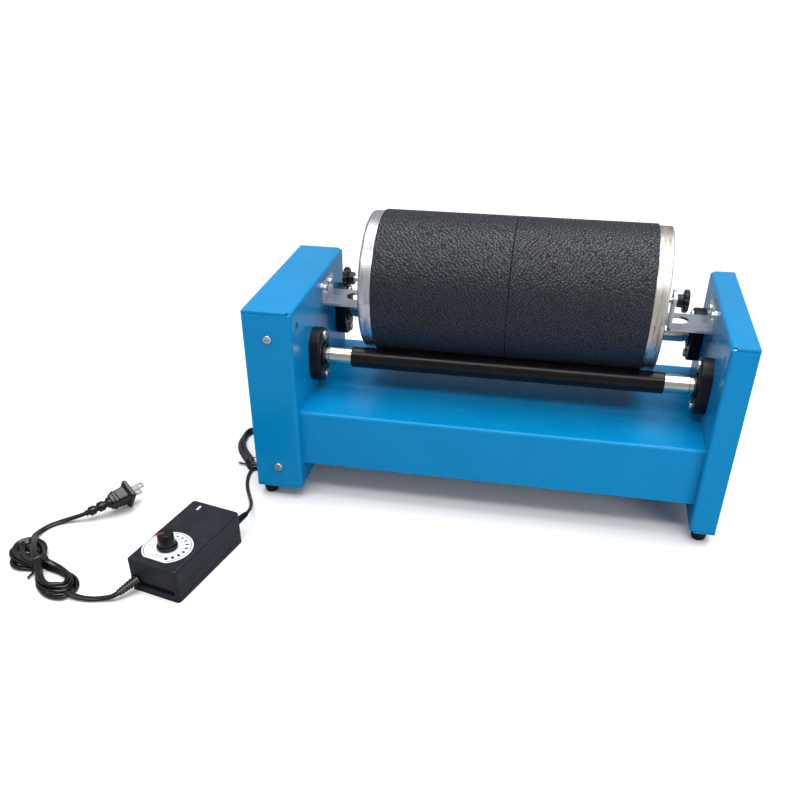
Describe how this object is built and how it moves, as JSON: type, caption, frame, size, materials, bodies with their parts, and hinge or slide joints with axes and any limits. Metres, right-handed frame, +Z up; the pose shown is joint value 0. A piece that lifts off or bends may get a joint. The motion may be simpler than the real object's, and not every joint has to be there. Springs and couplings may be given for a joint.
{
  "type": "rotary rock tumbler",
  "caption": "Rotary tumbler: a barrel with textured bands lies on two driven rollers between folded sheet end frames; a speed controller lies beside it on its lead.",
  "frame": {"origin": "on the floor, under the middle of the machine's footprint", "axes": "+X along the barrel to the right-hand end frame, +Y to the back, +Z up"},
  "size_m": [0.6958, 0.4164, 0.2814],
  "materials": {
    "blue_powder_coat": "satin powder coat with fine orange peel",
    "zinc_plated_steel": "bright zinc plate",
    "roller_steel": "turned and plated",
    "bearing_steel": "ground",
    "black_housing": "satin black",
    "black_rubber": "smooth matt",
    "worn_aluminium": "turned, scuffed",
    "barrel_steel": "rolled tube",
    "textured_black_band": "pebble grain",
    "motor_steel": "satin grey",
    "pulley_aluminium": "machined",
    "controller_plastic": "fine spark texture",
    "knob_plastic": "satin",
    "spindle_brass": "turned",
    "dial_white": "printed foil",
    "lens_white": "diffusing",
    "circuit_board": "satin",
    "lead_sheath": "semi-gloss PVC",
    "blade_nickel": "nickel plate"
  },
  "bodies": {
    "frame": {"left_end_frame": "blue_powder_coat", "left_outer_cover": "blue_powder_coat", "right_end_frame": "blue_powder_coat", "base_channel": "blue_powder_coat", "pan_head_screws": "zinc_plated_steel", "rubber_feet": "black_rubber", "bearing_housing_front_left": "black_housing", "bearing_housing_front_right": "black_housing", "bearing_housing_rear_left": "black_housing", "bearing_housing_rear_right": "black_housing", "ball_bearings": "bearing_steel", "stop_bracket_left": "zinc_plated_steel", "stop_bracket_right": "zinc_plated_steel", "motor_gearbox": "motor_steel", "motor_can": "motor_steel", "motor_mount": "zinc_plated_steel", "motor_screws": "zinc_plated_steel", "drive_belt": "black_rubber", "dc_gland": "lead_sheath", "adapter_base": "controller_plastic", "adapter_top": "controller_plastic", "dial_plate": "dial_white", "potentiometer": "knob_plastic", "indicator_lens": "lens_white", "controller_board": "circuit_board", "adapter_reliefs": "lead_sheath", "mains_cord_adapter_end": "lead_sheath", "mains_hank": "lead_sheath", "mains_cord_plug_end": "lead_sheath", "cord_ties": "lead_sheath", "plug_body": "lead_sheath", "plug_blades": "blade_nickel", "dc_cord_machine_end": "lead_sheath", "dc_coil": "lead_sheath", "dc_cord_adapter_end": "lead_sheath"},
    "barrel": {"drum_shell": "barrel_steel", "drum_liner": "black_rubber", "drum_left_end": "worn_aluminium", "drum_right_rim": "worn_aluminium", "textured_band_left": "textured_black_band", "textured_band_right": "textured_black_band"},
    "barrel_lid": {"drum_lid": "worn_aluminium", "lid_gasket": "black_rubber"},
    "front_roller": {"front_roller_shaft": "roller_steel", "front_roller_sleeve": "black_rubber", "front_bearing_inner_rings": "bearing_steel", "roller_pulley": "pulley_aluminium"},
    "rear_roller": {"rear_roller_shaft": "roller_steel", "rear_roller_sleeve": "black_rubber", "rear_bearing_inner_rings": "bearing_steel"},
    "motor_output": {"motor_shaft": "roller_steel", "motor_pulley": "pulley_aluminium"},
    "left_stop_screw": {"stop_stud_left": "zinc_plated_steel", "stop_bumper_left": "black_rubber"},
    "left_stop_knob": {"stop_knob_left": "knob_plastic"},
    "right_stop_screw": {"stop_stud_right": "zinc_plated_steel", "stop_bumper_right": "black_rubber"},
    "right_stop_knob": {"stop_knob_right": "knob_plastic"},
    "speed_dial_knob": {"speed_knob": "knob_plastic", "knob_spindle": "spindle_brass"}
  },
  "joints": [
    {"name": "barrel_spin", "type": "hinge", "parent": "frame", "child": "barrel", "pos_m": [0.0125, 0.0191, 0.20917], "axis": [1, 0, 0], "continuous": true},
    {"name": "front_roller_spin", "type": "hinge", "parent": "frame", "child": "front_roller", "pos_m": [0.0125, -0.0305, 0.142], "axis": [1, 0, 0], "continuous": true},
    {"name": "rear_roller_spin", "type": "hinge", "parent": "frame", "child": "rear_roller", "pos_m": [0.0125, 0.079, 0.151], "axis": [1, 0, 0], "continuous": true},
    {"name": "motor_output_spin", "type": "hinge", "parent": "frame", "child": "motor_output", "pos_m": [-0.2, -0.0305, 0.075], "axis": [1, 0, 0], "continuous": true},
    {"name": "lid_turn", "type": "hinge", "parent": "barrel", "child": "barrel_lid", "pos_m": [0.1565, 0.0191, 0.20917], "axis": [1, 0, 0], "range_deg": [0, 60]},
    {"name": "left_stop_travel", "type": "slide", "parent": "frame", "child": "left_stop_screw", "axis": [1, 0, 0], "range_m": [0, 0.00401]},
    {"name": "left_stop_knob_turn", "type": "hinge", "parent": "left_stop_screw", "child": "left_stop_knob", "pos_m": [-0.1615, 0.0191, 0.20917], "axis": [1, 0, 0], "range_deg": [0, 1440]},
    {"name": "right_stop_travel", "type": "slide", "parent": "frame", "child": "right_stop_screw", "axis": [1, 0, 0], "range_m": [0, 0.00401]},
    {"name": "right_stop_knob_turn", "type": "hinge", "parent": "right_stop_screw", "child": "right_stop_knob", "pos_m": [0.1825, 0.0191, 0.20917], "axis": [1, 0, 0], "range_deg": [0, 1440]},
    {"name": "speed_knob_turn", "type": "hinge", "parent": "frame", "child": "speed_dial_knob", "pos_m": [-0.27531, -0.25695, 0.04], "axis": [0, 0, -1], "range_deg": [0, 300]}
  ],
  "couplings": [
    {"joint": "front_roller_spin", "follows": "barrel_spin", "ratio": -6.5636},
    {"joint": "rear_roller_spin", "follows": "barrel_spin", "ratio": -6.5636},
    {"joint": "motor_output_spin", "follows": "barrel_spin", "ratio": -9.8454},
    {"joint": "left_stop_travel", "follows": "left_stop_knob_turn", "m_per_rad": 0.00015915},
    {"joint": "right_stop_travel", "follows": "right_stop_knob_turn", "m_per_rad": 0.00015915}
  ]
}
